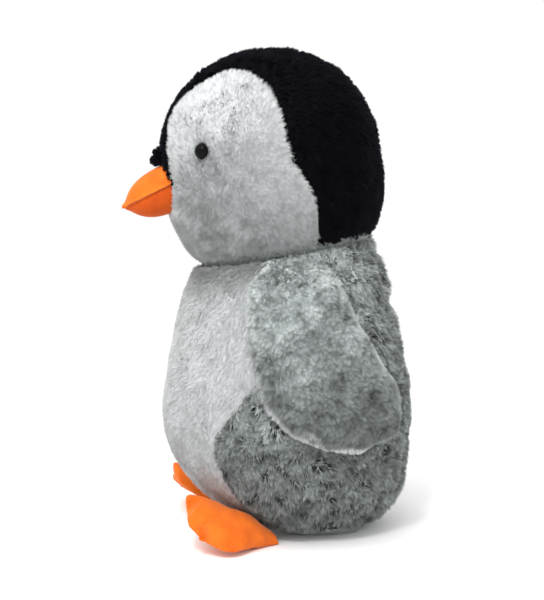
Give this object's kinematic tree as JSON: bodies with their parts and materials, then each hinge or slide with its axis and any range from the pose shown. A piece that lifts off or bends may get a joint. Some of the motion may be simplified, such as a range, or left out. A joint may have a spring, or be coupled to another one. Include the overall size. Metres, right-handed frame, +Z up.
{
  "type": "plush penguin",
  "caption": "Standing plush penguin with a stuffed body, a turning head, hanging flippers, a soft beak and flexing feet.",
  "frame": {"origin": "on the ground, at the middle of the toy, straight under the neck", "axes": "+Z up, the beak points along -Y, the toy's left side is +X"},
  "size_m": [0.3002, 0.2955, 0.4939],
  "materials": {
    "white_plush": "matte",
    "grey_plush": "matte",
    "black_plush": "matte",
    "orange_velour": "matte",
    "pale_lining": "matte",
    "fibre_fill": "matte",
    "bag_cotton": "matte",
    "eye_plastic": "gloss",
    "washer_plastic": "satin"
  },
  "bodies": {
    "body": {"belly_panel": "white_plush", "side_panel_left": "grey_plush", "side_panel_right": "grey_plush", "base_panel": "grey_plush", "body_filling": "fibre_fill", "pellet_bag": "bag_cotton"},
    "neck": {"neck_filling": "fibre_fill"},
    "head": {"cap_left": "black_plush", "cap_right": "black_plush", "forehead_stripe": "black_plush", "nose_tuft": "black_plush", "face_left": "white_plush", "face_right": "white_plush", "head_filling": "fibre_fill", "eye_left": "eye_plastic", "eye_right": "eye_plastic", "eye_washer_left": "washer_plastic", "eye_washer_right": "washer_plastic", "beak_upper": "orange_velour", "beak_lower": "orange_velour", "beak_filling": "fibre_fill"},
    "flipper_left": {"flipper_left_cover": "grey_plush", "flipper_left_lining": "pale_lining", "flipper_left_filling": "fibre_fill"},
    "foot_left": {"foot_left_upper": "orange_velour", "foot_left_sole": "orange_velour", "foot_left_filling": "fibre_fill"},
    "flipper_right": {"flipper_right_cover": "grey_plush", "flipper_right_lining": "pale_lining", "flipper_right_filling": "fibre_fill"},
    "foot_right": {"foot_right_upper": "orange_velour", "foot_right_sole": "orange_velour", "foot_right_filling": "fibre_fill"}
  },
  "joints": [
    {"name": "head_turn", "type": "hinge", "parent": "body", "child": "neck", "pos_m": [0, 0, 0.295], "axis": [0, -0.1822, 0.9833], "range_deg": [-25, 25]},
    {"name": "head_nod", "type": "hinge", "parent": "neck", "child": "head", "pos_m": [0, 0, 0.295], "axis": [1, 0, 0], "range_deg": [-3, 3], "stiffness_Nm_per_rad": 4},
    {"name": "flipper_left_lift", "type": "hinge", "parent": "body", "child": "flipper_left", "pos_m": [0.09755, -0.00853, 0.278], "axis": [-0.0872, -0.9962, 0], "range_deg": [0, 55]},
    {"name": "foot_left_flex", "type": "hinge", "parent": "body", "child": "foot_left", "pos_m": [0.058, -0.03, 0.004], "axis": [-0.8988, -0.4384, 0], "range_deg": [0, 8]},
    {"name": "flipper_right_lift", "type": "hinge", "parent": "body", "child": "flipper_right", "pos_m": [-0.09755, -0.00853, 0.278], "axis": [-0.0872, 0.9962, 0], "range_deg": [0, 55]},
    {"name": "foot_right_flex", "type": "hinge", "parent": "body", "child": "foot_right", "pos_m": [-0.058, -0.03, 0.004], "axis": [-0.8988, 0.4384, 0], "range_deg": [0, 8]}
  ]
}
